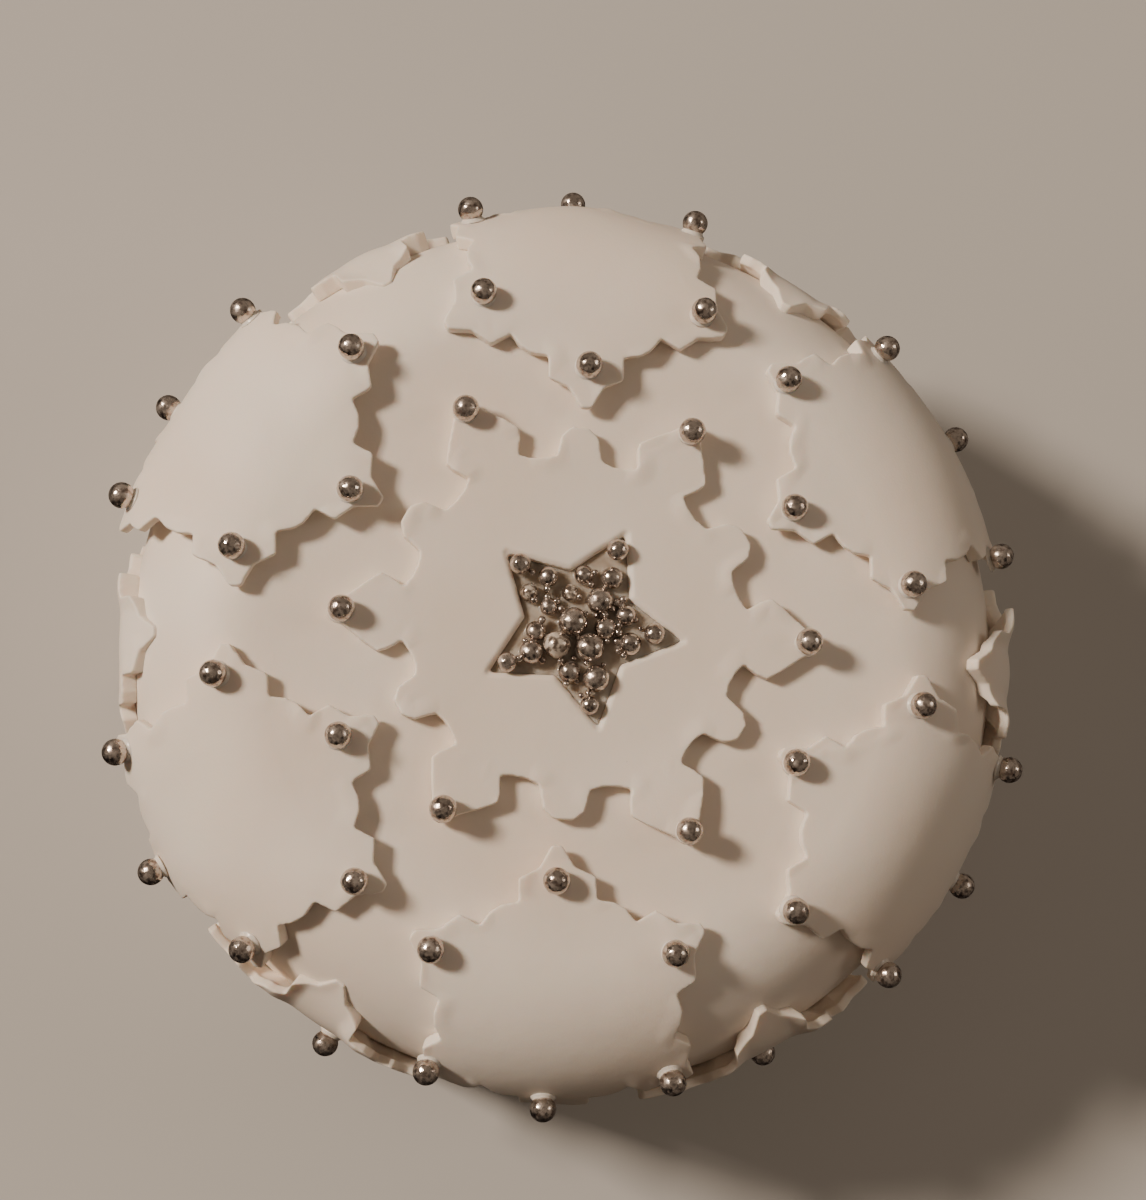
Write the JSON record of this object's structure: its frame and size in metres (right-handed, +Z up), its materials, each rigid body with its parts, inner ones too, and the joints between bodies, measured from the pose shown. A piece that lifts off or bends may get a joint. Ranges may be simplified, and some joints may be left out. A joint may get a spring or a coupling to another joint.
{
  "type": "round iced christmas cake",
  "caption": "Uncut round cake in white sugar paste, with a large snowflake on top around a star filled with silver balls, and smaller snowflakes over the rim and on the side.",
  "frame": {"origin": "middle of the flat base of the cake", "axes": "+Z up out of the top of the cake, +X to the right and +Y to the far side as the reference picture shows it from above"},
  "size_m": [0.2166, 0.227, 0.0977],
  "materials": {
    "icing": "smooth rolled sugar paste, warm white, with a soft dull sheen",
    "snowflake_paste": "thin cut sugar paste, warm white, with soft rounded edges",
    "silver_ball": "mirror-bright silver sugar ball",
    "pearl_ball": "pale pearly sugar ball whose silver has worn off",
    "glaze": "clear glossy sugar glaze over sugar paste"
  },
  "bodies": {
    "root": {"cake": "icing", "centre_flake": "snowflake_paste", "star_filling": "silver_ball", "rim_flake_1": "snowflake_paste", "rim_flake_2": "snowflake_paste", "rim_flake_3": "snowflake_paste", "rim_flake_4": "snowflake_paste", "rim_flake_5": "snowflake_paste", "rim_flake_6": "snowflake_paste", "side_flake_1": "snowflake_paste", "side_flake_2": "snowflake_paste", "side_flake_3": "snowflake_paste", "side_flake_4": "snowflake_paste", "side_flake_5": "snowflake_paste", "side_flake_6": "snowflake_paste"}
  },
  "joints": []
}
